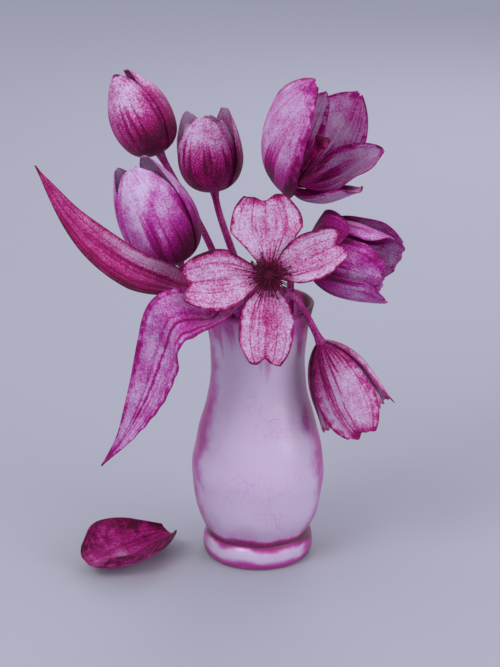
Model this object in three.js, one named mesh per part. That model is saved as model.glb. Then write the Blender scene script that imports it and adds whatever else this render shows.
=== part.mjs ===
// A wilted bouquet in its vase: six drooping tulips, one wide-open four-petalled bloom, two long leaves
// and one petal that has dropped beside the foot. Millimetres, +Z up, with the front bloom facing -Y and
// the origin at the centre of the vase's foot.
import * as THREE from "three";

// ---------------------------------------------------------------- driving dimensions
const VASE = {
  height: 190, wall: 3.6, floor: 8,
  footHeight: 16, footRadius: 39.5, bellyRadius: 47, neckRadius: 33, rimRadius: 38.5,
};
const BLADE_THICKNESS = 1;
const STEM_RADIUS = 2.7;
const STEM_FLOOR = { height: 13, radius: 27, twist: 62 }; // the cut ends, turned back by the twist
const STEM_NECK = { height: 150, radius: 21.5 }; // where the stems pass the vase's neck
const VASE_RINGS = 12; // stretches of the vase's side between the groove and the lip
const PETAL_WALK = 24; // steps along a petal's middle line
const SECTOR = 0.98; // half of the arc that one of three petals may fill round its flower, in radians

const degrees = THREE.MathUtils.degToRad;
const vector = (list) => new THREE.Vector3(...list);

const colours = {
  glaze: new THREE.MeshStandardMaterial({ color: 0xd9c8dc, roughness: 0.18, metalness: 0 }),
  petal: new THREE.MeshStandardMaterial({ color: 0xa8408c, roughness: 0.6, metalness: 0 }),
  palePetal: new THREE.MeshStandardMaterial({ color: 0xc490bc, roughness: 0.6, metalness: 0 }),
  fallenPetal: new THREE.MeshStandardMaterial({ color: 0x76103f, roughness: 0.55, metalness: 0 }),
  heart: new THREE.MeshStandardMaterial({ color: 0x3c0f21, roughness: 0.7, metalness: 0 }),
  stem: new THREE.MeshStandardMaterial({ color: 0x96407c, roughness: 0.6, metalness: 0 }),
  leaf: new THREE.MeshStandardMaterial({ color: 0x802867, roughness: 0.55, metalness: 0 }),
};

const bouquet = new THREE.Group();

function addNode(parent, name, geometry, material) {
  const mesh = new THREE.Mesh(geometry, material);
  mesh.name = name;
  parent.add(mesh);
  return mesh;
}

// ---------------------------------------------------------------- vase
// One thrown piece: a flat foot, a groove above it, a low belly, a waisted neck and a flared lip.
function vaseGeometry() {
  const { height, wall, floor, footHeight, footRadius, bellyRadius, neckRadius, rimRadius } = VASE;
  const side = new THREE.SplineCurve([
    new THREE.Vector2(footRadius - 2.4, footHeight + 4),
    new THREE.Vector2(bellyRadius - 3, 37),
    new THREE.Vector2(bellyRadius, 66),
    new THREE.Vector2(bellyRadius - 4.5, 94),
    new THREE.Vector2(neckRadius + 2.2, 122),
    new THREE.Vector2(neckRadius, 145),
    new THREE.Vector2(neckRadius + 1.6, 168),
    new THREE.Vector2(rimRadius, height - 2),
  ]);
  const outside = side.getPoints(VASE_RINGS);
  const inside = outside
    .map((point, i) => {
      const along = side.getTangent(i / VASE_RINGS);
      return new THREE.Vector2(point.x - wall * along.y, point.y + wall * along.x);
    })
    .reverse();
  const profile = [
    new THREE.Vector2(0, 0),
    new THREE.Vector2(footRadius - 1.5, 0),
    new THREE.Vector2(footRadius, 1.5),
    new THREE.Vector2(footRadius, footHeight - 2),
    new THREE.Vector2(footRadius - 3, footHeight + 1.5),
    ...outside,
    new THREE.Vector2(rimRadius - wall / 2, height),
    ...inside.slice(1, -2),
    new THREE.Vector2(footRadius - wall - 4, floor + 4),
    new THREE.Vector2(footRadius - wall - 10, floor),
    new THREE.Vector2(0, floor),
  ];
  return new THREE.LatheGeometry(profile, 36).rotateX(Math.PI / 2);
}
addNode(bouquet, "vase", vaseGeometry(), colours.glaze);

// ---------------------------------------------------------------- thin blades: petals and leaves
// A blade starts as a flat unit box, finely divided, whose corners are laid on a curved middle surface.
// place(u, v) gives that surface: u runs -1 to 1 across the blade, v runs 0 to 1 from base to tip.
function bladeGeometry(across, along, place) {
  const box = new THREE.BoxGeometry(2, 1, 2, across, along, 1);
  const corners = box.getAttribute("position");
  const step = 0.01;
  for (let i = 0; i < corners.count; i++) {
    const u = corners.getX(i);
    const v = corners.getY(i) + 0.5;
    const acrossBlade = place(u + step, v).sub(place(u - step, v));
    const alongBlade = place(u, Math.min(v + step, 1)).sub(place(u, Math.max(v - step, 0)));
    const normal = acrossBlade.cross(alongBlade).normalize();
    const point = place(u, v).addScaledVector(normal, (corners.getZ(i) * BLADE_THICKNESS) / 2);
    corners.setXYZ(i, point.x, point.y, point.z);
  }
  return box;
}

// Straight-line reading of a list of values spread evenly from v = 0 to v = 1.
function readAlong(list, v) {
  const place = Math.min(Math.max(v, 0), 1) * (list.length - 1);
  const i = Math.min(Math.floor(place), list.length - 2);
  return THREE.MathUtils.lerp(list[i], list[i + 1], place - i);
}

// Half the width of a petal: a sine bow from `from` to `to` of its half turn, fuller for a smaller power.
function halfWidth(form, v) {
  const [from, to, power] = form.bow;
  return Math.max((form.width / 2) * Math.sin(Math.PI * (from + (to - from) * v)) ** power, 0.5);
}

// A petal in its flower's own frame, growing from the axis towards +X and up +Z. leans are its angles from
// the axis, base to tip. A petal with no cup lies on the flower's round wall; a cup is its own half arc,
// and tilt lifts one edge over the next petal's.
function petalGeometry(form, start, open = 0) {
  const line = [];
  let [out, up] = start;
  for (let i = 0; i <= PETAL_WALK; i++) {
    const v = i / PETAL_WALK;
    const lean = degrees(readAlong(form.leans, v) + open * v);
    line.push({ out, up, lean });
    out += (Math.sin(lean) * form.length) / PETAL_WALK;
    up += (Math.cos(lean) * form.length) / PETAL_WALK;
  }
  const outs = line.map((point) => point.out);
  const ups = line.map((point) => point.up);
  const leans = line.map((point) => point.lean);
  const place = (u, v) => {
    const reach = v * (1 - (form.notch ?? 0) * Math.exp(-((u / 0.3) ** 2)) * v * v);
    const distance = readAlong(outs, reach);
    const lean = readAlong(leans, reach);
    const half = Math.min(halfWidth(form, v), (form.sector ?? SECTOR) * distance);
    const radius = form.cup ? half / degrees(readAlong(form.cup, v)) : distance;
    const turn = (u * half) / radius;
    const sink = radius * (1 - Math.cos(turn));
    const [inward, upward] = form.cup ? [Math.cos(lean), Math.sin(lean)] : [1, 0];
    const lift = (form.tilt ?? 0) * u;
    return new THREE.Vector3(
      distance - (sink + lift) * inward,
      radius * Math.sin(turn),
      readAlong(ups, reach) + (sink + lift) * upward,
    );
  };
  return bladeGeometry(4, 6, place);
}

// ---------------------------------------------------------------- flowers
// base is where the petals meet the stem, axis points out of the flower. Each petal is
// [form, turn about the axis, extra opening at its tip], with the outer ring first.
const OUTER_START = [3.2, 0.4];
const INNER_START = [2.6, 3.8];
const tulipBow = [0.13, 0.985, 0.72];
const bellBow = [0.1, 0.9, 0.75];

const closed = { length: 76, width: 48, bow: tulipBow, leans: [85, 22, -5, -28, -42] };
const closedInner = { ...closed, length: 64, width: 40 };
const budding = { length: 68, width: 50, bow: tulipBow, leans: [85, 33, 0, -14, -20] };
const buddingInner = { ...budding, length: 57, width: 41 };
const full = { length: 92, width: 62, bow: tulipBow, leans: [85, 26, -4, -20, -34] };
const fullInner = { ...full, length: 78, width: 52 };
const upright = { length: 120, width: 72, bow: tulipBow, leans: [82, 38, 8, -10, -24] };
const uprightInner = { ...upright, length: 82, width: 50 };
const rear = { length: 88, width: 56, bow: tulipBow, leans: [82, 42, 18, 4, -8] };
const spread = {
  length: 80, width: 52, bow: tulipBow,
  leans: [84, 54, 40, 36, 34], cup: [50, 52, 46, 40, 34],
};
const spreadInner = { ...spread, length: 70, width: 44, leans: [82, 42, 26, 24, 26] };
const flopped = {
  length: 68, width: 48, bow: tulipBow,
  leans: [86, 50, 32, 26, 36], cup: [46, 46, 38, 30, 22],
};
const blown = { length: 80, width: 63, bow: bellBow, leans: [84, 37, 4, -8, -14] };
const blownInner = { ...blown, length: 67, width: 51 };
const turnedOut = {
  length: 44, width: 38, bow: tulipBow,
  leans: [80, 60, 40, 30, 40], cup: [10, 0, -10, -15, -10],
};
const bell = { length: 76, width: 49, bow: bellBow, leans: [54, 28, 12, 4, -2] };
const bellInner = { ...bell, length: 63, width: 34 };
const bract = {
  bow: [0.1, 0.84, 0.8], leans: [74, 86, 84, 88, 96], cup: [30, 28, 24, 22, 18],
  notch: 0.07, sector: 0.8, tilt: 1.5,
};

const flowers = [
  {
    name: "high_bud",
    base: [-68.5, 34, 288],
    axis: [-0.44, 0.02, 0.9],
    neck: 150,
    rise: 62,
    settle: 50,
    outer: [[closed, 20, 0], [closed, 140, 0], [closed, 260, 0]],
    inner: [[closedInner, 80, 0], [closedInner, 200, 0], [closedInner, 320, 0]],
  },
  {
    name: "back_tulip",
    base: [-30.5, 32, 261],
    axis: [-0.12, 0.02, 0.99],
    neck: 112,
    rise: 46,
    settle: 34,
    outer: [[budding, 25, 0], [budding, 145, 0], [budding, 265, 0]],
    inner: [[buddingInner, 85, 0], [buddingInner, 205, 0], [buddingInner, 325, 0]],
  },
  {
    name: "big_tulip",
    base: [-54, -12, 223],
    axis: [-0.43, 0, 0.9],
    neck: 186,
    rise: 52,
    settle: 19,
    outer: [[full, 275, 0], [full, 35, 0], [full, 155, 0]],
    inner: [[fullInner, 335, 0], [fullInner, 95, 0], [fullInner, 215, 0]],
  },
  {
    name: "open_tulip",
    base: [24, 15, 269],
    axis: [0.43, -0.42, 0.8],
    neck: 66,
    rise: 48,
    settle: 34,
    outer: [[upright, 203, 0], [rear, 70, 0], [flopped, 312, 0]],
    inner: [[spreadInner, 8, 0], [uprightInner, 128, 0]],
  },
  {
    name: "side_tulip",
    base: [33, -3, 232],
    axis: [0.94, -0.2, -0.2],
    neck: 22,
    rise: 54,
    settle: 17,
    outer: [[turnedOut, 210, 0], [blown, 325, 0], [blown, 85, 0]],
    inner: [[blownInner, 265, 0], [blownInner, 25, 0], [blownInner, 145, 0]],
  },
  {
    name: "hanging_tulip",
    base: [43, -27, 170],
    axis: [0.43, 0.04, -0.9],
    neck: 328,
    rise: 76,
    settle: 44,
    outer: [[bell, 280, 0], [bell, 40, 0], [bell, 160, 0]],
    inner: [[bellInner, 340, 0], [bellInner, 100, 0], [bellInner, 220, 0]],
  },
];

// A flower's own frame: +Z leaves the stem along the flower's axis.
function flowerFrame({ base, axis }) {
  const frame = new THREE.Group();
  frame.position.copy(vector(base));
  frame.quaternion.setFromUnitVectors(vector([0, 0, 1]), vector(axis).normalize());
  bouquet.add(frame);
  return frame;
}

// The seed vessel in the middle of an open tulip: a six-sided rod with a wide three-lobed head, kept simple.
function pistilGeometry(height) {
  const profile = [
    [0, 4.5], [2.2, 4.5], [2.6, height * 0.6], [2.2, height - 4],
    [4, height - 2], [3.4, height], [0, height],
  ];
  const points = profile.map(([radius, up]) => new THREE.Vector2(radius, up));
  return new THREE.LatheGeometry(points, 6).rotateX(Math.PI / 2);
}

for (const flower of flowers) {
  const frame = flowerFrame(flower);
  const rings = { outer: OUTER_START, inner: INNER_START };
  for (const [ring, start] of Object.entries(rings)) {
    flower[ring].forEach(([form, turn, open], i) => {
      const name = `${flower.name}_${ring}_petal_${i + 1}`;
      const petal = addNode(frame, name, petalGeometry(form, start, open), colours.petal);
      petal.rotation.z = degrees(turn);
    });
  }
}
const pistilHeights = { open_tulip: 50, side_tulip: 30, hanging_tulip: 26 };
for (const flower of flowers.filter(({ name }) => name in pistilHeights)) {
  const geometry = pistilGeometry(pistilHeights[flower.name]);
  addNode(flowerFrame(flower), `${flower.name}_pistil`, geometry, colours.heart);
}

// ---------------------------------------------------------------- front bloom
// Four broad notched petals, wide open round a dark heart, tipped to face the front.
const frontBloom = { base: [7, -60, 229], axis: [0, -0.94, 0.34], neck: 268, rise: 56, settle: 30 };
const frontPetals = [
  ["right", 25, { length: 50, width: 33 }, 2],
  ["top", 94, { length: 50, width: 50 }, -4],
  ["left", 186, { length: 53, width: 42 }, 3],
  ["bottom", 268, { length: 56, width: 38 }, 6],
];
const bloomFrame = flowerFrame(frontBloom);
for (const [name, turn, size, open] of frontPetals) {
  const geometry = petalGeometry({ ...bract, ...size }, [5.6, 0.6], open);
  const petal = addNode(bloomFrame, `front_bloom_${name}_petal`, geometry, colours.palePetal);
  petal.rotation.z = degrees(turn);
}
const heart = addNode(bloomFrame, "front_bloom_heart", new THREE.SphereGeometry(4.8, 10, 7), colours.heart);
heart.position.z = 5.2;

// ---------------------------------------------------------------- stems
// Each stem stands on the vase's floor, passes the neck, and then bends to meet its flower along its axis.
function ringPoint({ height, radius }, turn) {
  return vector([radius * Math.cos(degrees(turn)), radius * Math.sin(degrees(turn)), height]);
}

function stemGeometry({ base, axis, neck, rise, settle }) {
  const foot = ringPoint(STEM_FLOOR, neck + STEM_FLOOR.twist);
  const waist = ringPoint(STEM_NECK, neck);
  const away = waist.clone().sub(foot).normalize();
  const out = vector(axis).normalize();
  const top = vector(base).addScaledVector(out, -0.6);
  const path = new THREE.CurvePath();
  path.add(new THREE.LineCurve3(foot, waist));
  path.add(
    new THREE.CubicBezierCurve3(
      waist,
      waist.clone().addScaledVector(away, rise),
      top.clone().addScaledVector(out, -settle),
      top,
    ),
  );
  const section = new THREE.Shape().absarc(0, 0, STEM_RADIUS, 0, 2 * Math.PI);
  return new THREE.ExtrudeGeometry(section, { extrudePath: path, steps: 14, curveSegments: 3 });
}
for (const flower of [...flowers, { name: "front_bloom", ...frontBloom }]) {
  addNode(bouquet, `${flower.name}_stem`, stemGeometry(flower), colours.stem);
}

// ---------------------------------------------------------------- leaves
// A leaf follows its rib from inside the mouth, over the lip. facing is the way its upper side looks,
// in even steps from base to tip, and fold is how far its two halves close towards each other.
const leaves = [
  {
    name: "swept_leaf",
    rib: [
      [-22, -8, 168], [-25, -9, 184], [-42, -21, 203], [-60, -35, 214], [-84, -51, 230],
      [-106, -49, 245], [-125, -36, 260], [-138, -30, 277], [-150, -24, 295],
    ],
    facing: [[0.85, 0.3, 0.1], [0.1, -0.2, 1], [0.1, -0.9, 0.35], [0.4, -0.8, 0.3], [0.6, -0.75, 0.2]],
    width: 30,
    bow: [0.04, 0.985, 1],
    fold: [30, 34, 26, 20],
  },
  {
    name: "drooping_leaf",
    rib: [
      [-12, -23, 168], [-15, -27, 184], [-24, -40, 205], [-30, -61, 199], [-54, -71, 199],
      [-63, -62, 176], [-74, -61, 146], [-89, -59, 116], [-108, -54, 89],
    ],
    facing: [[0.45, 0.9, 0.1], [0.2, 0.3, 1], [-0.5, -0.6, 0.6], [-0.45, -0.9, 0.1], [-0.4, -0.9, 0]],
    width: 48,
    bow: [0.03, 0.985, 1.4],
    fold: [28, 24, 18, 16],
  },
];

function leafGeometry(leaf) {
  const rib = new THREE.CatmullRomCurve3(leaf.rib.map(vector), false, "catmullrom", 0.5);
  const [facingX, facingY, facingZ] = [0, 1, 2].map((axis) => leaf.facing.map((way) => way[axis]));
  const place = (u, v) => {
    const tangent = rib.getTangent(v);
    const facing = vector([facingX, facingY, facingZ].map((list) => readAlong(list, v)));
    const side = tangent.clone().cross(facing).normalize();
    const above = side.clone().cross(tangent).normalize();
    const fold = degrees(readAlong(leaf.fold, v));
    const reach = halfWidth(leaf, v);
    return rib
      .getPoint(v)
      .addScaledVector(side, u * reach * Math.cos(fold))
      .addScaledVector(above, Math.abs(u) ** 1.4 * reach * Math.sin(fold));
  };
  return bladeGeometry(4, 16, place);
}
for (const leaf of leaves) {
  addNode(bouquet, leaf.name, leafGeometry(leaf), colours.leaf);
}

// ---------------------------------------------------------------- fallen petal
// It lies on the table on its back, hollow side up, with both edges rolled in and its broad tip to the front.
const fallen = {
  length: 84, width: 60, bow: [0.06, 0.88, 0.75],
  leans: [112, 97, 89, 78, 60], cup: [66, 66, 64, 58, 46], sector: 9,
};
const fallenGeometry = petalGeometry(fallen, [4, 7.5]);
const fallenPetal = addNode(bouquet, "fallen_petal", fallenGeometry, colours.fallenPetal);
fallenPetal.position.set(-60, 12, 0);
fallenPetal.rotation.z = degrees(226);

export default bouquet;
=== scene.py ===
from math import atan2, copysign, cos, exp, pi, radians, sin
from random import Random

import bmesh
import bpy
from mathutils import Matrix, Vector, noise
from mathutils.geometry import interpolate_bezier


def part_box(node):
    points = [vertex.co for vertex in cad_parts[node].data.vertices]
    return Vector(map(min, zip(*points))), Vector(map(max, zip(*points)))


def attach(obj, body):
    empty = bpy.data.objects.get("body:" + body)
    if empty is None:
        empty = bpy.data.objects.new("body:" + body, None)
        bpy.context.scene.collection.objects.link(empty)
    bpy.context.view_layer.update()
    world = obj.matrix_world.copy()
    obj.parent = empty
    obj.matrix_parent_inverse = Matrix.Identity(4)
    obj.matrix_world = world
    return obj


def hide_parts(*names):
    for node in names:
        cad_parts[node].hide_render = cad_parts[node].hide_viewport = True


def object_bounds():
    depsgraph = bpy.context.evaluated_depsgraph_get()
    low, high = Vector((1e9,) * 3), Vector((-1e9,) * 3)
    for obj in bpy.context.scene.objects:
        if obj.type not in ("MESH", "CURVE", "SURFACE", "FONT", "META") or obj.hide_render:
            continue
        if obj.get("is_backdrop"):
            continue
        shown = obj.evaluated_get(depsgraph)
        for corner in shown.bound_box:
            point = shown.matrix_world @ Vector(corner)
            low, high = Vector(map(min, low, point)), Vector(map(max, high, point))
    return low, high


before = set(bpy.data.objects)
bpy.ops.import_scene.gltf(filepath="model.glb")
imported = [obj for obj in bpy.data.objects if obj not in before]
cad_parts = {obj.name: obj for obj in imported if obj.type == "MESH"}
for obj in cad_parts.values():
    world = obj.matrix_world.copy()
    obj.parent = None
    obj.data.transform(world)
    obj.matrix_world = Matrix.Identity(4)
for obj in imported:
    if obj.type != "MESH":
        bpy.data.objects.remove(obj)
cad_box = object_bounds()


# ---------------------------------------------------------------- studio
# A plain pale tabletop that runs out of sight, in a pale room. A large soft box stands over the left
# shoulder, a wider and weaker one to the right, and a dim one behind lifts the petals off the table.
# The camera looks at the bouquet from the front and a little above.
def srgb(red, green, blue):
    """A colour given in the 0 to 255 steps of a paint chart, as linear light."""
    steps = (red / 255, green / 255, blue / 255)
    return tuple(s / 12.92 if s <= 0.04045 else ((s + 0.055) / 1.055) ** 2.4 for s in steps) + (1.0,)


def add_node(tree, kind, inputs=None, **settings):
    """A shader node. inputs gives its sockets numbers or links, by name or place."""
    made = tree.nodes.new(kind)
    for setting, value in settings.items():
        setattr(made, setting, value)
    for socket, value in (inputs or {}).items():
        if isinstance(value, bpy.types.NodeSocket):
            tree.links.new(value, made.inputs[socket])
        else:
            made.inputs[socket].default_value = value
    return made


def new_material(name, **constants):
    """A material with one Principled BSDF, whose sockets are set to the constants."""
    material = bpy.data.materials.new(name)
    material.use_nodes = True
    shader = material.node_tree.nodes["Principled BSDF"]
    for socket, value in constants.items():
        shader.inputs[socket.replace("_", " ")].default_value = value
    return material, material.node_tree, shader


scene = bpy.context.scene
scene.view_settings.view_transform = "Standard"

table = bpy.data.meshes.new("tabletop")
shape = bmesh.new()
bmesh.ops.create_grid(shape, x_segments=1, y_segments=1, size=6)
shape.to_mesh(table)
shape.free()
tabletop = bpy.data.objects.new("tabletop", table)
scene.collection.objects.link(tabletop)
table_paint, _, paint_shader = new_material("pale_tabletop", Roughness=0.9)
paint_shader.inputs["Base Color"].default_value = srgb(176, 179, 189)
table.materials.append(table_paint)
tabletop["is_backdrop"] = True

room = bpy.data.worlds.new("pale_room")
room.use_nodes = True
room.node_tree.nodes["Background"].inputs["Color"].default_value = srgb(214, 212, 226)
room.node_tree.nodes["Background"].inputs["Strength"].default_value = 0.96
scene.world = room

aim = Vector((-0.0056, 0, 0.1662))
soft_boxes = [
    ("key_soft_box", (-0.95, -1.05, 1.45), 0.9, 11),
    ("fill_soft_box", (1.5, -1.0, 0.75), 1.4, 9),
    ("back_soft_box", (0.35, 1.35, 0.95), 0.9, 4),
]
for name, place, size, power in soft_boxes:
    lamp = bpy.data.lights.new(name, "AREA")
    lamp.shape = "DISK"
    lamp.size = size
    lamp.energy = power
    holder = bpy.data.objects.new(name, lamp)
    holder.location = place
    holder.rotation_euler = (aim - Vector(place)).to_track_quat("-Z", "Y").to_euler()
    scene.collection.objects.link(holder)

camera_pitch = radians(20)
camera_distance = 1.56
lens = bpy.data.cameras.new("camera")
lens.lens = 120
camera = bpy.data.objects.new("camera", lens)
camera.location = aim + camera_distance * Vector((0, -cos(camera_pitch), sin(camera_pitch)))
camera.rotation_euler = (pi / 2 - camera_pitch, 0, 0)
scene.collection.objects.link(camera)
scene.camera = camera


# ---------------------------------------------------------------- vase
# One thrown vase of pale lilac stoneware: foot, groove, low belly, waisted neck and flared lip. Its glaze
# has run magenta under the lip and pooled in the groove, and is finely crazed. Painted shade darkens its
# left and right flanks, the low edge of its foot, the groove and the low belly. The ring that it stands on
# is bare clay.
FLOAT, VECTOR, COLOUR = "NodeSocketFloat", "NodeSocketVector", "NodeSocketColor"


def smooth_line(points, count):
    """count + 1 places along a smooth line through the points, evenly from the first to the last."""
    points = [Vector(point) for point in points]
    knots = [2 * points[0] - points[1], *points, 2 * points[-1] - points[-2]]
    line = []
    for step in range(count + 1):
        along = step * (len(points) - 1) / count
        i = min(int(along), len(points) - 2)
        t = along - i
        before, here, there, after = knots[i : i + 4]
        bend = 2 * before - 5 * here + 4 * there - after
        twist = 3 * here - 3 * there + after - before
        line.append(here + 0.5 * ((there - before) * t + bend * t**2 + twist * t**3))
    return line


def finish_piece(name, shape, material, stands_for=None):
    """Turns a bmesh into a smooth piece of the bouquet, which rides on its one body."""
    for face in shape.faces:
        face.smooth = True
    mesh = bpy.data.meshes.new(name)
    shape.to_mesh(mesh)
    shape.free()
    mesh.materials.append(material)
    piece = bpy.data.objects.new(name, mesh)
    scene.collection.objects.link(piece)
    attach(piece, "root")
    if stands_for:
        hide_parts(stands_for)
    return piece


def maths(tree, operation, first, second=0.0):
    """One sum on numbers or sockets, as a socket."""
    return add_node(tree, "ShaderNodeMath", {0: first, 1: second}, operation=operation).outputs[0]


def smoothstep(tree, value, low, high, start=0.0, end=1.0):
    """Rises smoothly from start to end while value goes from low to high."""
    inputs = {0: value, 1: low, 2: high, 3: start, 4: end}
    return add_node(tree, "ShaderNodeMapRange", inputs, interpolation_type="SMOOTHSTEP").outputs[0]


def blend_sum(tree, start, *weighted):
    """start plus each (socket, weight) pair, as a socket."""
    for socket, weight in weighted:
        inputs = {0: socket, 1: weight, 2: start}
        start = add_node(tree, "ShaderNodeMath", inputs, operation="MULTIPLY_ADD").outputs[0]
    return start


def mix_colours(tree, share, first, second):
    """The first colour with a share of the second mixed in, as a socket."""
    inputs = {0: share, 6: first, 7: second}
    return add_node(tree, "ShaderNodeMix", inputs, data_type="RGBA").outputs[2]


def new_group(name, inputs, outputs):
    """A shader node group with those named sockets, and its input and output nodes."""
    group = bpy.data.node_groups.new(name, "ShaderNodeTree")
    for socket, kind, value in inputs:
        made = group.interface.new_socket(socket, in_out="INPUT", socket_type=kind)
        if value is not None:
            made.default_value = value
    for socket, kind in outputs:
        group.interface.new_socket(socket, in_out="OUTPUT", socket_type=kind)
    return group, group.nodes.new("NodeGroupInput").outputs, group.nodes.new("NodeGroupOutput").inputs


def use_group(tree, group, inputs):
    """Places a group in a material with its own values, and gives its outputs."""
    return add_node(tree, "ShaderNodeGroup", inputs, node_tree=group).outputs


# How much pigment a place holds, as a colour: pale lilac, through orchid and magenta, to near black.
# Warmth leads from the violet side of the pigment to its wine side.
pigment_colour, given, wanted = new_group(
    "pigment_colour", [("Density", FLOAT, 0.3), ("Warmth", FLOAT, 0.3)], [("Color", COLOUR)]
)
violet_tones = [
    (0.0, (209, 191, 218)), (0.2, (198, 156, 201)), (0.4, (188, 92, 176)),
    (0.6, (172, 20, 146)), (0.8, (148, 4, 110)), (1.0, (94, 4, 60)),
]
wine_tones = [
    (0.0, (211, 191, 214)), (0.2, (199, 150, 188)), (0.4, (188, 80, 144)),
    (0.6, (168, 18, 104)), (0.8, (136, 4, 72)), (1.0, (78, 4, 40)),
]
ramps = []
for tones in (violet_tones, wine_tones):
    ramp = add_node(pigment_colour, "ShaderNodeValToRGB", {0: given["Density"]})
    stops = ramp.color_ramp.elements
    stops[0].color = srgb(*tones[0][1])
    stops[1].color = srgb(*tones[-1][1])
    for stop, tone in tones[1:-1]:
        stops.new(stop).color = srgb(*tone)
    ramps.append(ramp.outputs["Color"])
tinted = mix_colours(pigment_colour, given["Warmth"], *ramps)
pigment_colour.links.new(tinted, wanted["Color"])

# Fine speckle and wide soft clouds, both around zero, for pigment that settles unevenly.
pigment_grain, given, wanted = new_group(
    "pigment_grain",
    [("Position", VECTOR, None), ("Grain Scale", FLOAT, 900.0), ("Cloud Scale", FLOAT, 60.0)],
    [("Grain", FLOAT), ("Clouds", FLOAT)],
)
for output, size_socket, detail in (("Grain", "Grain Scale", 2.0), ("Clouds", "Cloud Scale", 3.0)):
    inputs = {"Vector": given["Position"], "Scale": given[size_socket], "Detail": detail, "Roughness": 0.6}
    flecks = add_node(pigment_grain, "ShaderNodeTexNoise", inputs)
    centred = smoothstep(pigment_grain, flecks.outputs[0], 0.3, 0.7, -0.5, 0.5)
    pigment_grain.links.new(centred, wanted[output])

vase_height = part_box("vase")[1].z
foot_radius, belly_radius, neck_radius, lip_radius = 0.0395, 0.047, 0.033, 0.0385
wall = 0.0036
floor_height = 0.008
groove_height = 0.0178
side_steps = 56
turning_steps = 128
side = smooth_line(
    [
        (foot_radius - 0.0024, groove_height + 0.002), (belly_radius - 0.0034, 0.037), (belly_radius, 0.066),
        (belly_radius - 0.0045, 0.094), (neck_radius + 0.0022, 0.122), (neck_radius, 0.145),
        (neck_radius + 0.0016, 0.168), (lip_radius, vase_height - 0.002),
    ],
    side_steps,
)
inner_side = []
for i, point in enumerate(side):
    ahead = side[min(i + 1, len(side) - 1)] - side[max(i - 1, 0)]
    ahead.normalize()
    inner_side.append(Vector((point[0] - wall * ahead[1], point[1] + wall * ahead[0])))
lip = [(0.0003, -0.0011), (-0.0002, -0.0003), (-0.0012, 0), (-0.0024, -0.0004), (-0.0032, -0.0016)]
foot = [
    (-0.0100, 0.0004), (-0.0094, 0), (-0.0042, 0), (-0.0026, 0.0005), (-0.0014, 0.0018), (-0.0004, 0.0046),
    (0, 0.008), (-0.0002, 0.0118), (-0.0007, 0.0144), (-0.0016, 0.0160), (-0.0028, 0.0170),
    (-0.0031, groove_height),
]
# The bottom is hollowed a little. The inside leaves out its lowest rows, where the floor curves up to the
# wall, and its last two, where the lip rounds over.
hollow_height = 0.0014
profile = [
    (0, hollow_height), (foot_radius - 0.0112, hollow_height),
    *[(foot_radius + out, up) for out, up in foot],
    *side,
    *[(lip_radius + out, vase_height + up) for out, up in lip],
    *reversed(inner_side[6:-2]),
    (foot_radius - wall - 0.004, floor_height + 0.005), (foot_radius - wall - 0.010, floor_height),
    (0, floor_height),
]
shape = bmesh.new()
outline = [shape.verts.new((point[0], 0, point[1])) for point in profile]
outline += [shape.edges.new(pair) for pair in zip(outline, outline[1:])]
bmesh.ops.spin(
    shape, geom=outline, cent=(0, 0, 0), axis=(0, 0, 1), angle=2 * pi, steps=turning_steps, use_merge=True
)
bmesh.ops.remove_doubles(shape, verts=shape.verts, dist=1e-5)
bmesh.ops.recalc_face_normals(shape, faces=shape.faces)
for vertex in shape.verts:
    # The thrower's hand: the wall wanders a little, more towards the lip, and the foot stays true.
    height = vertex.co.z / vase_height
    angle = atan2(vertex.co.y, vertex.co.x)
    wander = 0.0005 * height * sin(2 * angle + 0.9) + 0.00018 * sin(height * 46 + angle)
    if vertex.co.z > groove_height + 0.002:
        vertex.co.xy *= 1 + wander / belly_radius

glaze, tree, shader = new_material("lilac_glaze", Coat_Weight=0.45, Coat_IOR=1.45)
position = add_node(tree, "ShaderNodeTexCoord").outputs["Object"]
parts = add_node(tree, "ShaderNodeSeparateXYZ", {0: position}).outputs
settled = use_group(tree, pigment_grain, {"Position": position, "Grain Scale": 1000.0, "Cloud Scale": 30.0})
height = blend_sum(tree, parts["Z"], (settled["Clouds"], 0.016))
level = add_node(tree, "ShaderNodeVectorMath", {0: position, 1: (1, 1, 0)}, operation="MULTIPLY").outputs[0]
radius = add_node(tree, "ShaderNodeVectorMath", {0: level}, operation="LENGTH").outputs["Value"]
sideways = maths(tree, "DIVIDE", maths(tree, "ABSOLUTE", parts["X"]), radius)
# Painted shade: the glaze darkens towards the left and right sides, along X, where the vase turns away from
# the front.
shaded_flanks = smoothstep(tree, blend_sum(tree, sideways, (settled["Clouds"], 0.12)), 0.76, 1.0)
true_height = blend_sum(tree, parts["Z"], (settled["Clouds"], 0.004))
# Darker glaze in the groove: glaze pooled there, and painted shade in the recess.
groove_offset = maths(tree, "SUBTRACT", true_height, groove_height + 0.0015)
groove = smoothstep(tree, maths(tree, "ABSOLUTE", groove_offset), 0.0060, 0.001)
# Painted shade: darker glaze low on the foot, where it turns under towards the table.
shaded_foot_edge = smoothstep(tree, true_height, 0.0095, 0.003)
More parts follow.
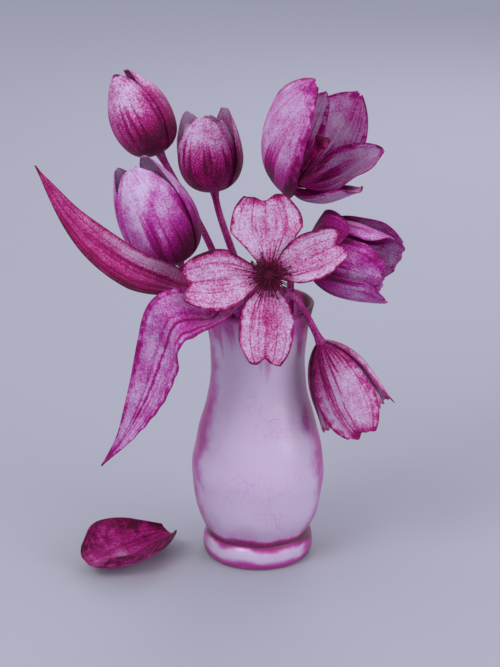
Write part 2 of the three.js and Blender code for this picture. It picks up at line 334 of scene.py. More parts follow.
# Darker glaze on the low belly just above the groove, where it turns under: partly glaze that ran down,
# partly painted shade.
above_foot = smoothstep(tree, height, 0.040, 0.018)
on_belly = smoothstep(tree, parts["Z"], groove_height - 0.002, groove_height)
glaze_run_and_shade = maths(tree, "MULTIPLY", above_foot, on_belly)
lip_edge = smoothstep(tree, parts["Z"], vase_height - 0.005, vase_height - 0.001)
mouth = smoothstep(tree, parts["Z"], vase_height - 0.028, vase_height - 0.010)
drawn_down = add_node(tree, "ShaderNodeMapping", {"Vector": position, "Scale": (1, 1, 0.07)}).outputs[0]
drips = add_node(tree, "ShaderNodeTexNoise", {"Vector": drawn_down, "Scale": 95.0})
drip_end = smoothstep(tree, drips.outputs[0], 0.30, 0.72, vase_height - 0.012, vase_height - 0.050)
dripped = smoothstep(tree, maths(tree, "SUBTRACT", parts["Z"], drip_end), -0.006, 0.014)
cells = {"Vector": position, "Scale": 62.0}
crazing = add_node(tree, "ShaderNodeTexVoronoi", cells, feature="DISTANCE_TO_EDGE")
crackle = smoothstep(tree, crazing.outputs["Distance"], 0.012, 0.002)
crackle = maths(tree, "MULTIPLY", crackle, smoothstep(tree, settled["Clouds"], -0.1, 0.4))
density = blend_sum(
    tree, 0.0, (shaded_flanks, 0.58), (groove, 0.68), (shaded_foot_edge, 0.60), (glaze_run_and_shade, 0.26), (dripped, 0.32),
    (lip_edge, 0.38), (mouth, 0.10), (crackle, 0.15), (settled["Clouds"], 0.10), (settled["Grain"], 0.10),
)
glaze_colour = use_group(tree, pigment_colour, {"Density": density, "Warmth": 0.2})["Color"]
bare = smoothstep(tree, parts["Z"], 0.0009, 0.0004)
bare_clay = srgb(206, 192, 186)
tree.links.new(mix_colours(tree, bare, glaze_colour, bare_clay), shader.inputs["Base Color"])
roughness = blend_sum(tree, 0.36, (settled["Clouds"], 0.1), (bare, 0.5), (mouth, 0.25))
tree.links.new(roughness, shader.inputs["Roughness"])
tree.links.new(blend_sum(tree, 0.18, (mouth, 0.5)), shader.inputs["Coat Roughness"])
relief = blend_sum(tree, 0.0, (settled["Grain"], 0.12), (crackle, -0.5), (dripped, 0.6))
dimple = add_node(tree, "ShaderNodeBump", {"Strength": 0.25, "Distance": 0.0003, "Height": relief})
tree.links.new(dimple.outputs[0], shader.inputs["Normal"])
finish_piece("vase_body", shape, glaze, "vase")


# ---------------------------------------------------------------- tulips
# Six tulips past their best, with three outer petals each, and three inner ones but for the open tulip's two.
# Thin and satiny, they grow from the top of the stem. Those of the closed tulips wrap round each other, the
# others gape and curl. Pigment is thickest at the base, along the rim and in the long veins, and painted
# shade darkens one side of four of them.
def read_along(values, v):
    """Straight-line reading of values spread evenly from v = 0 to v = 1."""
    place = min(max(v, 0), 1) * (len(values) - 1)
    i = min(int(place), len(values) - 2)
    return values[i] + (values[i + 1] - values[i]) * (place - i)


def half_width(form, v):
    """Half the width of a blade: a sine bow over part of its half turn, fuller for a smaller power."""
    low, high, power = form["bow"]
    return max(form["width"] / 2 * sin(pi * (low + (high - low) * v)) ** power, 0.0005)


def petal_surface(form, start, opening, chance):
    """place(u, v) of one petal in its flower's frame, out along +X and up +Z. leans are its angles from the
    axis, base to tip. With no cup it lies on the flower's round wall; a cup is its own half arc."""
    steps = 48
    rim_start = 0.55
    line = []
    out, up = start
    for i in range(steps + 1):
        lean = radians(read_along(form["leans"], i / steps) + opening * i / steps)
        line.append((out, up, lean))
        out += sin(lean) * form["length"] / steps
        up += cos(lean) * form["length"] / steps
    outs, ups, leans = zip(*line)
    phase = chance.uniform(0, 2 * pi)
    drift = Vector((chance.uniform(0, 50), chance.uniform(0, 50), 0))

    def place(u, v):
        scallop = form.get("frill", 0.012) * (1 + noise.noise(Vector((u * 2.2, 0, 0)) + drift)) * v**5
        notch = form.get("notch", 0) * exp(-((u / 0.3) ** 2)) * v * v
        reach = v * (1 - notch) - scallop
        distance, lean = read_along(outs, reach), read_along(leans, reach)
        half = min(half_width(form, v), form.get("sector", 0.98) * distance)
        radius = half / radians(read_along(form["cup"], v)) if "cup" in form else distance
        turn = u * half / radius
        rim = max(0, abs(u) - rim_start) ** 2
        turn += copysign(form.get("roll", 0) * rim, u)
        edge = abs(u) ** 3 * v**1.5
        lift = form.get("tilt", 0) * u + form.get("overlap", 0) * u * min(1, 4 * v)
        wave = sin(2 * pi * form.get("waves", 1.4) * v + copysign(phase, u))
        lift += form.get("ripple", 0.0006) * edge * wave
        lift -= form.get("curl", 0) * rim * sin(pi * v)
        lift += 0.0007 * noise.noise(Vector((u * 1.4, v * 2.6, 3)) + drift) * sin(pi * min(v, 0.98))
        lift -= form.get("keel", 0.0006) * exp(-((u / 0.16) ** 2)) * sin(pi * v)
        sink = radius - (radius - lift) * cos(turn)
        inward, upward = (cos(lean), sin(lean)) if "cup" in form else (1, 0)
        height = read_along(ups, reach) + sink * upward
        return Vector((distance - sink * inward, (radius - lift) * sin(turn), height))

    return place


def new_blade():
    """An empty bmesh, ready for grids with the blade's UV map and its layer of painted shade and stains."""
    shape = bmesh.new()
    shape.loops.layers.uv.new("blade")
    shape.verts.layers.float.new("shade_and_stain")
    return shape


def lay_grid(shape, across, along, place, turned=None, shade_and_stain_at=None):
    """Lays a grid on a surface: u runs -1 to 1 across and v 0 to 1 along. Its UV map keeps both, and the last
    argument, a function of u, v and the point, gives the extra pigment there: painted shade and stains."""
    shade_and_stain = shape.verts.layers.float["shade_and_stain"]
    made = bmesh.ops.create_grid(shape, x_segments=across, y_segments=along, size=1, calc_uvs=True)
    for vertex in made["verts"]:
        u, v = vertex.co.x, (vertex.co.y + 1) / 2
        vertex.co = turned @ place(u, v) if turned else place(u, v)
        if shade_and_stain_at:
            vertex[shade_and_stain] = shade_and_stain_at(u, v, vertex.co)


def thicken(piece, thickness):
    """Gives a one-sheet piece its thickness, half to each side."""
    skin = piece.modifiers.new("thickness", "SOLIDIFY")
    skin.thickness = thickness
    skin.offset = 0


def flower_matrix(flower):
    """A flower's own frame: +Z leaves the stem along the flower's axis."""
    turn = Vector((0, 0, 1)).rotation_difference(Vector(flower["axis"]).normalized())
    return Matrix.Translation(flower["base"]) @ turn.to_matrix().to_4x4()


def bell_curve(offset, width):
    return exp(-((offset / width) ** 2))


# How far from a flower's middle its painted shade takes to reach full strength.
shade_reach = 0.03


def shading_and_staining(centre=None, shaded_sides=(), stains=(), blots=()):
    """The extra pigment at (u, v, point) for a piece, as a function. Painted shade darkens the side of the
    flower that faces each given way, by its strength. A stain is a place (x, z), its half sizes and its
    depth. A blot is the same in the blade's own u and v."""

    def shade_and_stain_at(u, v, point):
        depth = 0
        for way, strength in shaded_sides:
            facing = (point - centre).dot(Vector(way).normalized())
            depth += strength * min(max(facing / shade_reach, 0), 1)
        for x, z, wide, tall, strength in stains:
            depth += strength * bell_curve(point.x - x, wide) * bell_curve(point.z - z, tall)
        for across, along, wide, tall, strength in blots:
            depth += strength * bell_curve(u - across, wide) * bell_curve(v - along, tall)
        return depth

    return shade_and_stain_at


# The two margins, the tip and the middle line of a blade, as ragged masks.
blade_margins, given, wanted = new_group(
    "blade_margins",
    [("Blade", VECTOR, None), ("Position", VECTOR, None), ("Margin", FLOAT, 0.2), ("Tip Reach", FLOAT, 0.1)],
    [("Sides", FLOAT), ("Tip", FLOAT), ("Rib", FLOAT)],
)
inputs = {"Vector": given["Position"], "Scale": 190.0, "Detail": 3.0}
ragged = add_node(blade_margins, "ShaderNodeTexNoise", inputs)
ragged = smoothstep(blade_margins, ragged.outputs[0], 0.3, 0.7, -0.5, 0.5)
uv = add_node(blade_margins, "ShaderNodeSeparateXYZ", {0: given["Blade"]}).outputs
offside = maths(blade_margins, "ABSOLUTE", blend_sum(blade_margins, -1.0, (uv[0], 2.0)))
for output, along, reach in (("Sides", offside, given["Margin"]), ("Tip", uv[1], given["Tip Reach"])):
    start = maths(blade_margins, "SUBTRACT", 1.0, reach)
    frayed = blend_sum(blade_margins, along, (maths(blade_margins, "MULTIPLY", ragged, reach), 0.9))
    blade_margins.links.new(smoothstep(blade_margins, frayed, start, 1.01), wanted[output])
frayed = blend_sum(blade_margins, offside, (ragged, 0.05))
blade_margins.links.new(smoothstep(blade_margins, frayed, 0.10, 0.015), wanted["Rib"])

# Long veins that run with the blade: soft dark streaks, and finer ridges for the relief.
blade_veins, given, wanted = new_group(
    "blade_veins",
    [("Blade", VECTOR, None), ("Count", FLOAT, 16.0), ("Seed", FLOAT, 0.0)],
    [("Streaks", FLOAT), ("Ridges", FLOAT)],
)
uv = add_node(blade_veins, "ShaderNodeSeparateXYZ", {0: given["Blade"]}).outputs
for output, finer, low, high in (("Streaks", 1.0, 0.46, 0.68), ("Ridges", 2.6, 0.3, 0.7)):
    sideways = maths(blade_veins, "MULTIPLY", maths(blade_veins, "MULTIPLY", uv[0], given["Count"]), finer)
    lengthways = maths(blade_veins, "MULTIPLY", uv[1], 1.3)
    grid = add_node(blade_veins, "ShaderNodeCombineXYZ", {0: sideways, 1: lengthways, 2: given["Seed"]})
    inputs = {"Vector": grid.outputs[0], "Scale": 1.0, "Detail": 3.0}
    veins = add_node(blade_veins, "ShaderNodeTexNoise", inputs)
    blade_veins.links.new(smoothstep(blade_veins, veins.outputs[0], low, high), wanted[output])


def blade_material(
    name, seed, base=0.7, reach=0.35, margin=0.2, sides=0.25, tip_reach=0.1, tip=0.15, rib=0.0, veins=14.0,
    streaks=0.25, clouds=0.2, grain=0.22, pale=0.1, warmth=0.3, roughness=0.6,
):
    """Satin plant skin. base, sides, tip, rib, streaks, clouds and grain are how much pigment each adds to
    the pale middle, and reach is how far up the blade the dark base climbs."""
    material, tree, shader = new_material(
        name, Sheen_Weight=0.04, Sheen_Tint=srgb(226, 170, 214), Specular_IOR_Level=0.22,
        Subsurface_Weight=0.25, Subsurface_Radius=(1.0, 0.5, 0.8), Subsurface_Scale=0.001,
    )
    position = add_node(tree, "ShaderNodeTexCoord").outputs["Object"]
    blade = add_node(tree, "ShaderNodeUVMap", uv_map="blade").outputs[0]
    # This attribute holds painted shade on the flowers' shaded sides, together with their stains and blots.
    shade_and_stain = add_node(tree, "ShaderNodeAttribute", attribute_name="shade_and_stain").outputs["Fac"]
    scales = {"Position": position, "Grain Scale": 820.0, "Cloud Scale": 75.0}
    settled = use_group(tree, pigment_grain, scales)
    edges = {"Blade": blade, "Position": position, "Margin": margin, "Tip Reach": tip_reach}
    rims = use_group(tree, blade_margins, edges)
    lines = use_group(tree, blade_veins, {"Blade": blade, "Count": veins, "Seed": seed})
    along = add_node(tree, "ShaderNodeSeparateXYZ", {0: blade}).outputs[1]
    feathered = blend_sum(tree, along, (lines["Streaks"], -0.22), (settled["Clouds"], 0.16))
    dark_base = smoothstep(tree, feathered, reach, reach - 0.42)
    density = blend_sum(
        tree, pale, (shade_and_stain, 1.0), (dark_base, base), (rims["Sides"], sides), (rims["Tip"], tip),
        (rims["Rib"], rib), (lines["Streaks"], streaks), (settled["Clouds"], clouds),
        (settled["Grain"], grain),
    )
    colour = use_group(tree, pigment_colour, {"Density": density, "Warmth": warmth})["Color"]
    tree.links.new(colour, shader.inputs["Base Color"])
    tree.links.new(blend_sum(tree, roughness, (settled["Grain"], 0.14)), shader.inputs["Roughness"])
    relief = blend_sum(tree, 0.0, (lines["Ridges"], 0.55), (settled["Grain"], 0.25), (settled["Clouds"], 0.7))
    bump = add_node(tree, "ShaderNodeBump", {"Strength": 0.5, "Distance": 0.0004, "Height": relief})
    tree.links.new(bump.outputs[0], shader.inputs["Normal"])
    return material


petal_faces = (34, 48)  # across and along
petal_thickness = 0.00045
tulip_bow, bell_bow = (0.13, 0.985, 0.72), (0.1, 0.9, 0.75)
wrapped = dict(bow=tulip_bow, sector=1.2, overlap=0.0009)
closed = dict(wrapped, length=0.076, width=0.048, leans=(85, 22, -5, -28, -42))
closed_inner = dict(closed, length=0.064, width=0.040)
budding = dict(wrapped, length=0.068, width=0.050, leans=(85, 33, 0, -14, -20))
budding_inner = dict(budding, length=0.057, width=0.041)
full = dict(wrapped, length=0.092, width=0.062, leans=(85, 26, -4, -20, -34))
full_inner = dict(full, length=0.078, width=0.052)
upright = dict(
    length=0.120, width=0.072, bow=tulip_bow, leans=(82, 38, 8, -10, -24), ripple=0.0014, curl=0.006
)
upright_inner = dict(upright, length=0.082, width=0.050)
rear = dict(upright, length=0.088, width=0.056, leans=(82, 42, 18, 4, -8), frill=0.03)
spread_inner = dict(
    length=0.070, width=0.044, bow=tulip_bow, leans=(82, 42, 26, 24, 26), cup=(50, 52, 46, 40, 34),
    ripple=0.0022, waves=2.2, frill=0.03,
)
flopped = dict(
    length=0.068, width=0.048, bow=tulip_bow, leans=(86, 50, 32, 26, 36), cup=(46, 46, 38, 30, 22),
    ripple=0.0020, waves=2.0, frill=0.03,
)
blown = dict(
    length=0.080, width=0.063, bow=bell_bow, leans=(84, 37, 4, -8, -14), ripple=0.0018, waves=1.7,
    frill=0.045, curl=0.005,
)
blown_inner = dict(blown, length=0.067, width=0.051)
turned_out = dict(
    length=0.044, width=0.038, bow=tulip_bow, leans=(80, 60, 40, 30, 40), cup=(10, 1, -10, -15, -10),
    ripple=0.0014,
)
bell = dict(
    length=0.076, width=0.049, bow=bell_bow, leans=(54, 28, 12, 4, -2), ripple=0.0014, frill=0.05, curl=0.005
)
bell_inner = dict(bell, length=0.063, width=0.034)


def ring_of(form, first):
    """Three petals of one form, evenly round the axis from the first one's turn."""
    return [(form, (first + 120 * i) % 360) for i in range(3)]


# base is where the petals meet the stem and axis points out of the flower. neck, rise and settle lay its
# stem. Each petal is its form and its turn about the axis, with the outer ring first.
# A flower's shaded sides are painted shade, darker on the side that faces each way; its stains make patches
# darker or paler.
tulips = [
    dict(
        name="high_bud", base=(-0.0685, 0.034, 0.288), axis=(-0.44, 0.02, 0.9),
        neck=150, rise=0.062, settle=0.050,
        outer=ring_of(closed, 20),
        inner=ring_of(closed_inner, 80),
        skin=dict(
            base=0.50, reach=0.62, sides=0.12, tip=0.10, streaks=0.10, clouds=0.36, grain=0.36,
            pale=0.30, warmth=0.7,
        ),
        shaded_sides=[((0.9, 0, -0.1), 0.26)],
        # The second stain, paler up at the left of the bud's tip, is a painted highlight.
        stains=[(-0.076, 0.305, 0.012, 0.016, 0.22), (-0.100, 0.337, 0.014, 0.016, -0.10)],
    ),
    dict(
        name="back_tulip", base=(-0.0305, 0.032, 0.261), axis=(-0.12, 0.02, 0.99),
        neck=112, rise=0.046, settle=0.034,
        outer=ring_of(budding, 25),
        inner=ring_of(budding_inner, 85),
        skin=dict(
            base=0.66, reach=0.72, sides=0.12, tip=0.0, streaks=0.10, clouds=0.34, grain=0.36,
            pale=0.18, warmth=0.6,
        ),
        shaded_sides=[((1, 0, 0), 0.14)],
        stains=[(-0.036, 0.290, 0.016, 0.010, 0.2), (-0.038, 0.314, 0.030, 0.010, -0.06)],
    ),
    dict(
        name="big_tulip", base=(-0.054, -0.012, 0.223), axis=(-0.43, 0, 0.9),
        neck=186, rise=0.052, settle=0.019,
        outer=ring_of(full, 275),
        inner=ring_of(full_inner, 335),
        skin=dict(
            base=0.58, reach=0.50, sides=0.14, tip=0.08, streaks=0.18, clouds=0.26, grain=0.26,
            pale=0.16, warmth=0.12,
        ),
        shaded_sides=[((1, 0, -0.1), 0.36)],
        stains=[
            (-0.093, 0.263, 0.007, 0.009, 0.26), (-0.079, 0.272, 0.005, 0.022, -0.16),
            (-0.071, 0.268, 0.004, 0.013, 0.30), (-0.052, 0.248, 0.014, 0.018, 0.30),
            (-0.088, 0.247, 0.010, 0.009, 0.24), (-0.074, 0.232, 0.013, 0.010, 0.30),
            (-0.098, 0.284, 0.012, 0.012, -0.06), (-0.077, 0.290, 0.010, 0.010, -0.06),
        ],
    ),
    dict(
        name="open_tulip", base=(0.024, 0.015, 0.269), axis=(0.43, -0.42, 0.8),
        neck=66, rise=0.048, settle=0.034,
        outer=[(upright, 203), (rear, 70), (flopped, 312)],
        inner=[(spread_inner, 8), (upright_inner, 128)],
        skin=dict(
            base=0.56, reach=0.46, margin=0.20, sides=0.44, tip_reach=0.12, tip=0.34, streaks=0.24,
            clouds=0.20, grain=0.24, pale=0.21, warmth=0.3,
        ),
        stains=[(0.016, 0.284, 0.013, 0.013, 0.32), (0.068, 0.325, 0.008, 0.014, 0.26)],
    ),
    dict(
        name="side_tulip", base=(0.033, -0.003, 0.232), axis=(0.94, -0.2, -0.2),
        neck=22, rise=0.054, settle=0.017,
        outer=[(turned_out, 210), (blown, 325), (blown, 85)],
        inner=ring_of(blown_inner, 265),
        skin=dict(
            base=0.40, reach=0.62, margin=0.14, sides=0.26, tip=0.12, streaks=0.18, clouds=0.26, grain=0.28,
            pale=0.31, warmth=0.12,
        ),
        shaded_sides=[((-1, 0, 0.2), 0.18)],
        stains=[
            (0.047, 0.219, 0.010, 0.016, 0.16), (0.080, 0.232, 0.014, 0.005, 0.34),
            (0.075, 0.187, 0.014, 0.006, 0.30), (0.052, 0.252, 0.014, 0.010, 0.35),
        ],
    ),
    dict(
        name="hanging_tulip", base=(0.043, -0.027, 0.170), axis=(0.43, 0.04, -0.9),
        neck=328, rise=0.076, settle=0.044,
        outer=ring_of(bell, 280),
        inner=ring_of(bell_inner, 340),
        skin=dict(
            base=0.36, reach=0.44, margin=0.34, sides=0.40, tip_reach=0.12, tip=0.26, veins=20.0,
            streaks=0.32, clouds=0.18, grain=0.26, pale=0.14, warmth=0.75,
        ),
        stains=[(0.039, 0.140, 0.005, 0.036, 0.36), (0.069, 0.110, 0.006, 0.007, 0.50)],
    ),
]
chance = Random(20)
ring_starts = dict(outer=(0.0032, 0.0004), inner=(0.0026, 0.0038))
flower_middle = 0.032
for order, tulip in enumerate(tulips):
    matrix = flower_matrix(tulip)
    skin = blade_material(f"{tulip['name']}_skin", seed=3.7 * order, **tulip["skin"])
    centre = Vector(tulip["base"]) + flower_middle * Vector(tulip["axis"]).normalized()
    # Painted shade on the flower's shaded sides, with its stains.
    shade_and_stain_at = shading_and_staining(centre, tulip.get("shaded_sides", ()), tulip["stains"])
    for ring, start in ring_starts.items():
        for number, (form, turn) in enumerate(tulip[ring], 1):
            node = f"{tulip['name']}_{ring}_petal_{number}"
            place = petal_surface(form, start, 0, chance)
            shape = new_blade()
            lay_grid(shape, *petal_faces, place, matrix @ Matrix.Rotation(radians(turn), 4, "Z"), shade_and_stain_at)
            thicken(finish_piece(f"{node}_blade", shape, skin, node), petal_thickness)


# ---------------------------------------------------------------- pistils and stamens
# The middle of the open, side and hanging tulips: a three-sided seed vessel with a three-lobed head, sticky
# and dark, and six limp stamens round it, each a thin thread with a long dark anther.
def tube_surface(path, radius_at):
    """place(u, v) of a tube along a path, whose rings turn as little as they can."""
    last = len(path) - 1
    tangents = [(path[min(i + 1, last)] - path[max(i - 1, 0)]).normalized() for i in range(last + 1)]
    side_way = tangents[0].orthogonal().normalized()
    side_ways = [side_way]
    for before, after in zip(tangents, tangents[1:]):
        side_way = before.rotation_difference(after) @ side_way
        side_ways.append(side_way)

    def place(u, v):
        i = round(v * last)
        around = pi * (u + 1)
        spoke = cos(around) * side_ways[i] + sin(around) * tangents[i].cross(side_ways[i])
        return path[i] + radius_at(around, v) * spoke

    return place


def close_tubes(shape):
    """Joins the seams of tubes laid from grids, and closes their ends."""
    bmesh.ops.remove_doubles(shape, verts=shape.verts, dist=1e-6)
    bmesh.ops.holes_fill(shape, edges=[edge for edge in shape.edges if edge.is_boundary], sides=0)
    bmesh.ops.recalc_face_normals(shape, faces=shape.faces)


def limp_thread(root, way, length, droop, steps):
    """A thread that leaves its root one way and sags by droop at its end."""
    way = Vector(way).normalized()
    line = []
    for i in range(steps + 1):
        sag = Vector((0, 0, droop * (i / steps) ** 2))
        line.append(Vector(root) + way * length * i / steps - sag)
    return line


def smooth_rise(value, low, high):
    """0 below low, 1 above high, and a smooth rise between them."""
    t = min(max((value - low) / (high - low), 0), 1)
    return t * t * (3 - 2 * t)


def anther_radius(around, v):
    """A thread for two thirds of its length, then a long ribbed anther."""
    anther = 0.0011 * smooth_rise(v, 0.58, 0.66) * (1 - smooth_rise(v, 0.93, 1.0))
    return 0.00032 + anther * (1 + 0.22 * cos(2 * around))


pistil_skin = blade_material(
    "pistil_skin", seed=27.0, base=0.3, reach=0.7, margin=0.01, sides=0.0, tip_reach=0.25, tip=0.3, veins=6.0,
    streaks=0.16, clouds=0.3, grain=0.3, pale=0.55, warmth=0.8, roughness=0.4,
)
anther_skin = blade_material(
    "anther_skin", seed=33.0, base=0.0, reach=0.2, margin=0.01, sides=0.0, tip_reach=0.5, tip=0.34, veins=8.0,
    streaks=0.1, clouds=0.2, grain=0.4, pale=0.5, warmth=0.6, roughness=0.8,
)
pistil_heights = dict(open_tulip=0.050, side_tulip=0.030, hanging_tulip=0.026)
column_foot = 0.0045
column_steps = 40
stamen_ring = 0.0036
stamen_foot = 0.0058
thread_steps = 30
for flower in [tulip for tulip in tulips if tulip["name"] in pistil_heights]:
    matrix = flower_matrix(flower)
    tall = pistil_heights[flower["name"]]

    def pistil_radius(around, v):
        column = 0.0024 + 0.0003 * sin(pi * v)
        head = 0.0024 * smooth_rise(v, 0.80, 0.93) - 0.0030 * smooth_rise(v, 0.95, 1.0)
        return (column + head) * (1 + (0.08 + 0.30 * smooth_rise(v, 0.80, 0.92)) * cos(3 * around))

    shape = new_blade()
    heights = [column_foot + (tall - column_foot) * i / column_steps for i in range(column_steps + 1)]
    column_path = [Vector((0, 0, height)) for height in heights]
    lay_grid(shape, 36, column_steps, tube_surface(column_path, pistil_radius), matrix)
    close_tubes(shape)
    finish_piece(f"{flower['name']}_pistil_column", shape, pistil_skin, f"{flower['name']}_pistil")

    shape = new_blade()
    for i in range(6):
        turn = radians(60 * i + chance.uniform(-12, 12))
        lean = chance.uniform(0.16, 0.34)
        reach = tall * chance.uniform(0.62, 0.80)
        droop = chance.uniform(0, 0.002)
        root = (stamen_ring * cos(turn), stamen_ring * sin(turn), stamen_foot)
        way = (lean * cos(turn), lean * sin(turn), 1)
        thread = limp_thread(root, way, reach, droop, thread_steps)
        lay_grid(shape, 10, thread_steps, tube_surface(thread, anther_radius), matrix)
    close_tubes(shape)
    finish_piece(f"{flower['name']}_stamens", shape, anther_skin)


# ---------------------------------------------------------------- stems
# Seven limp stems, cut straight at the bottom. Each stands on the vase's floor, leans over the neck and
# bends to meet its flower, where it ends in a rounded crown that the petals grow from. They are round,
# faintly ribbed, and swell a little under the flower.
stem_floor = dict(height=0.013, radius=0.027, twist=62)
stem_neck = dict(height=0.150, radius=0.0215)
stem_radius = 0.0027
crown_radius = 0.0039
crown_height = 0.0046
straight_points = 24
bend_points = 40
stalk_points = straight_points + bend_points
crown_points = 8


def ring_point(height, radius, turn):
    return Vector((radius * cos(radians(turn)), radius * sin(radians(turn)), height))


def stem_path(flower):
    """The line of a stem: straight from the vase's floor to the neck, one bend to the flower, its crown."""
    foot = ring_point(stem_floor["height"], stem_floor["radius"], flower["neck"] + stem_floor["twist"])
    waist = ring_point(stem_neck["height"], stem_neck["radius"], flower["neck"])
    away = (waist - foot).normalized()
    out = Vector(flower["axis"]).normalized()
    top = Vector(flower["base"]) - 0.0002 * out
    leaving, arriving = waist + flower["rise"] * away, top - flower["settle"] * out
    bend = interpolate_bezier(waist, leaving, arriving, top, bend_points)
    crown = []
    for i in range(1, crown_points + 1):
        crown.append(top + flower.get("crown", crown_height) * sin(pi * i / (2 * crown_points)) * out)
    return [foot.lerp(waist, i / straight_points) for i in range(straight_points)] + bend + crown


stem_skin = blade_material(
    "stem_skin", seed=41.0, base=0.1, reach=0.3, margin=0.01, sides=0.0, tip_reach=0.1, tip=0.2, veins=9.0,
    streaks=0.22, clouds=0.28, grain=0.24, pale=0.50, warmth=0.6, roughness=0.5,
)
front_bloom = dict(
    name="front_bloom", base=(0.007, -0.060, 0.229), axis=(0, -0.94, 0.34),
    neck=268, rise=0.056, settle=0.030, crown=0.0012,
)
for flower in [*tulips, front_bloom]:
    path = stem_path(flower)
    sway = chance.uniform(0, 2 * pi)

    def stalk_radius(around, v, sway=sway):
        step = v * (len(path) - 1)
        if step > stalk_points:
            return crown_radius * cos(pi * (step - stalk_points) / (2 * crown_points))
        v = step / stalk_points
        swelling = 0.0016 * bell_curve(v - 1, 0.03)
        ribs = 0.00008 * sin(6 * around + sway)
        return stem_radius * (1.03 - 0.16 * v) + swelling + ribs + 0.00012 * sin(9 * v + sway)

    shape = new_blade()
    lay_grid(shape, 24, len(path) - 1, tube_surface(path, stalk_radius))
    close_tubes(shape)
    finish_piece(f"{flower['name']}_stem_stalk", shape, stem_skin, f"{flower['name']}_stem")


# ---------------------------------------------------------------- front bloom
# One wide-open bloom that faces the front, four broad papery petals round a near-black heart. Each petal is
# notched, wavy and stained along its whole rim, and dark strokes run out from the heart between its veins.
petal_skin = blade_material(
    "front_petal_skin", seed=52.0, base=0.62, reach=0.26, margin=0.13, sides=0.62, tip_reach=0.055, tip=0.55,
    rib=0.10, veins=18.0, streaks=0.22, clouds=0.22, grain=0.34, pale=0.16, warmth=0.85, roughness=0.7,
)
bract = dict(
    bow=(0.1, 0.84, 0.8), leans=(74, 86, 84, 88, 96), cup=(30, 28, 24, 22, 18), notch=0.07, sector=0.8,
    tilt=0.0015, ripple=0.0016, waves=2.3, frill=0.03, keel=0.0010,
)
# Each petal's side, its turn about the axis, its form, how many degrees further it opens, and its blots.
front_petals = [
    (
        "right", 25, dict(bract, length=0.050, width=0.033), 2,
        [(0.1, 1.0, 0.4, 0.07, 0.5), (1, 0.5, 0.2, 0.6, 0.25)],
    ),
    (
        "top", 94, dict(bract, length=0.050, width=0.050), -4,
        [(0.25, 0.97, 0.3, 0.09, 0.5), (-0.6, 0.97, 0.25, 0.07, 0.4)],
    ),
    (
        "left", 186, dict(bract, length=0.053, width=0.042), 3,
        [(-1, 0.5, 0.26, 0.7, 0.45)],
    ),
    (
        "bottom", 268, dict(bract, length=0.056, width=0.038), 6,
        [(0, 1.0, 0.35, 0.08, 0.5), (0.1, 0.35, 0.5, 0.25, 0.14)],
    ),
]
front_petal_start = (0.0056, 0.0006)
front_petal_faces = (44, 56)
matrix = flower_matrix(front_bloom)
for side_name, turn, form, opening, blots in front_petals:
    node = f"front_bloom_{side_name}_petal"
    place = petal_surface(form, front_petal_start, opening, chance)
    shape = new_blade()
    turned = matrix @ Matrix.Rotation(radians(turn), 4, "Z")
    lay_grid(shape, *front_petal_faces, place, turned, shading_and_staining(blots=blots))
    thicken(finish_piece(f"{node}_blade", shape, petal_skin, node), petal_thickness)

heart_skin = blade_material(
    "heart_skin", seed=60.0, base=0.1, reach=0.5, margin=0.01, sides=0.0, tip_reach=0.3, tip=0.1, veins=12.0,
    streaks=0.1, clouds=0.2, grain=0.3, pale=1.0, warmth=1.0, roughness=0.8,
)
shape = new_blade()
dome_foot, dome_height, dome_steps = 0.0010, 0.0080, 16
dome_path = [Vector((0, 0, dome_foot + dome_height * i / dome_steps)) for i in range(dome_steps + 1)]


def dome_radius(around, v):
    warts = 0.00035 * sin(9 * around + 14 * v) * sin(22 * v)
    return 0.0048 * max(1 - (2 * v - 1) ** 2, 0.03) ** 0.5 + warts * sin(pi * v)


def spike_radius(around, v):
    """A fine thread that ends in a small grain of pollen."""
    return 0.00062 - 0.00036 * v + 0.00044 * bell_curve(v - 0.93, 0.07)


lay_grid(shape, 40, dome_steps, tube_surface(dome_path, dome_radius), matrix)
spike_count = 64
spike_steps = 14
spike_droop = 0.0008
golden_angle = 2.39996
dome_middle = Vector((0, 0, 0.0045))
for i in range(spike_count):
    turn = golden_angle * i
    lean = radians(34 + 54 * (i / spike_count) ** 0.6)
    way = Vector((sin(lean) * cos(turn), sin(lean) * sin(turn), cos(lean)))
    reach = chance.uniform(0.006, 0.0145)
    spike = limp_thread(way * 0.003 + dome_middle, way, reach, spike_droop, spike_steps)
    lay_grid(shape, 6, spike_steps, tube_surface(spike, spike_radius), matrix)
close_tubes(shape)
finish_piece("front_bloom_heart_and_stamens", shape, heart_skin, "front_bloom_heart")


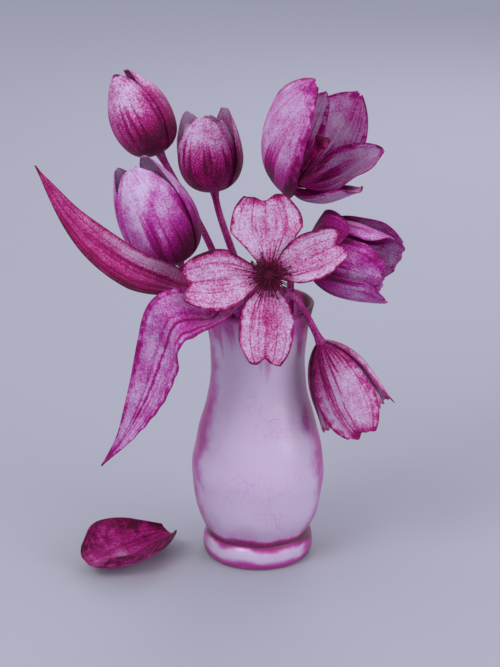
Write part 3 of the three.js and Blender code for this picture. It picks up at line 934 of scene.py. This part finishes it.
# ---------------------------------------------------------------- leaves
# Two long strap leaves, leathery, folded along the rib and fluted lengthways. Each starts inside the mouth
# and lies over the lip. One sweeps up to a fine point, the other has wilted and hangs with a torn edge.
leaves = [
    dict(
        name="swept_leaf",
        rib=[
            (-0.022, -0.008, 0.168), (-0.025, -0.009, 0.184), (-0.042, -0.021, 0.203),
            (-0.060, -0.035, 0.214), (-0.084, -0.051, 0.230), (-0.106, -0.049, 0.245),
            (-0.125, -0.036, 0.260), (-0.138, -0.030, 0.277), (-0.150, -0.024, 0.295),
        ],
        facing=[(0.85, 0.3, 0.1), (0.1, -0.2, 1), (0.1, -0.9, 0.35), (0.4, -0.8, 0.3), (0.6, -0.75, 0.2)],
        width=0.030, bow=(0.04, 0.985, 1.3), fold=(30, 34, 26, 20), ripple=0.0008, torn=0.0,
        blots=[(0.75, 0.50, 0.45, 0.20, -0.36), (-0.9, 0.6, 0.3, 0.5, 0.2)],
        skin=dict(
            base=0.20, reach=0.5, margin=0.14, sides=0.30, tip_reach=0.12, tip=0.2, rib=0.22, veins=11.0,
            streaks=0.30, clouds=0.16, grain=0.28, pale=0.50, warmth=0.85,
        ),
    ),
    dict(
        name="drooping_leaf",
        rib=[
            (-0.012, -0.023, 0.168), (-0.015, -0.027, 0.184), (-0.024, -0.040, 0.205),
            (-0.030, -0.061, 0.199), (-0.054, -0.071, 0.199), (-0.063, -0.062, 0.176),
            (-0.074, -0.061, 0.146), (-0.089, -0.059, 0.116), (-0.108, -0.054, 0.089),
        ],
        facing=[(0.45, 0.9, 0.1), (0.2, 0.3, 1), (-0.5, -0.6, 0.6), (-0.45, -0.9, 0.1), (-0.4, -0.9, 0)],
        width=0.048, bow=(0.03, 0.985, 1.4), fold=(28, 24, 18, 16), ripple=0.0014, torn=0.16,
        blots=[(0, 0.42, 0.9, 0.12, 0.22)],
        skin=dict(
            base=0.26, reach=0.5, margin=0.22, sides=0.44, tip_reach=0.10, tip=0.3, rib=0.46, veins=9.0,
            streaks=0.26, clouds=0.26, grain=0.30, pale=0.28, warmth=0.2,
        ),
    ),
]
leaf_faces = (36, 140)
leaf_thickness = 0.0008


def leaf_surface(leaf, steps, chance):
    """place(u, v) of a leaf about its rib. facing is the way its upper side looks, from base to tip, and fold
    is how far its two halves close towards each other."""
    rib = smooth_line(leaf["rib"], steps)
    phase = chance.uniform(0, 2 * pi)
    drift = Vector((chance.uniform(0, 50), 0, 0))

    def place(u, v):
        i = round(v * steps)
        tangent = (rib[min(i + 1, steps)] - rib[max(i - 1, 0)]).normalized()
        facing = Vector([read_along([way[axis] for way in leaf["facing"]], v) for axis in range(3)])
        side_way = tangent.cross(facing).normalized()
        above = side_way.cross(tangent).normalized()
        fold = radians(read_along(leaf["fold"], v))
        reach = half_width(leaf, v)
        if u < 0:
            reach *= 1 - leaf["torn"] * abs(noise.noise(Vector((v * 22, 0, 0)) + drift)) * min(1, 2 * v)
        flutes = 0.00035 * cos(5 * pi * u) * sin(pi * v)
        waviness = leaf["ripple"] * u * abs(u) * sin(2 * pi * 3.4 * v + phase)
        lift = abs(u) ** 1.4 * reach * sin(fold) + flutes + waviness
        return rib[i] + side_way * u * reach * cos(fold) + above * lift

    return place


for order, leaf in enumerate(leaves):
    skin = blade_material(f"{leaf['name']}_skin", seed=70.0 + 5 * order, **leaf["skin"])
    shape = new_blade()
    place = leaf_surface(leaf, leaf_faces[1], chance)
    lay_grid(shape, *leaf_faces, place, shade_and_stain_at=shading_and_staining(blots=leaf["blots"]))
    thicken(finish_piece(f"{leaf['name']}_blade", shape, skin, leaf["name"]), leaf_thickness)


# ---------------------------------------------------------------- fallen petal
# One petal that has dropped on the table and dried on its back, hollow side up, its rims rolled in and gone
# wine-dark, with a paler hollow. It only rests on the table.
fallen = dict(
    length=0.084, width=0.060, bow=(0.06, 0.88, 0.75), leans=(112, 97, 89, 78, 60), cup=(66, 66, 64, 58, 46),
    sector=9, roll=1.6, ripple=0.0022, waves=1.8, frill=0.03, keel=0.0008,
)
fallen_skin = blade_material(
    "fallen_petal_skin", seed=90.0, base=0.20, reach=0.5, margin=0.34, sides=0.34, tip_reach=0.2, tip=0.2,
    rib=0.1, veins=16.0, streaks=0.24, clouds=0.30, grain=0.26, pale=0.54, warmth=0.6, roughness=0.6,
)
lying = Matrix.Translation((-0.060, 0.012, 0)) @ Matrix.Rotation(radians(226), 4, "Z")
fallen_faces = (48, 64)
shape = new_blade()
pale_hollow = shading_and_staining(blots=[(0.1, 0.5, 0.4, 0.22, -0.26)])
place = petal_surface(fallen, (0.004, 0.0077), 0, chance)
lay_grid(shape, *fallen_faces, place, lying, pale_hollow)
fallen_blade = finish_piece("fallen_petal_blade", shape, fallen_skin, "fallen_petal")
thicken(fallen_blade, petal_thickness)

sizes = {"cad": cad_box, "visual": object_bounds()}
sizes = {kind: [list(corner) for corner in corners] for kind, corners in sizes.items()}
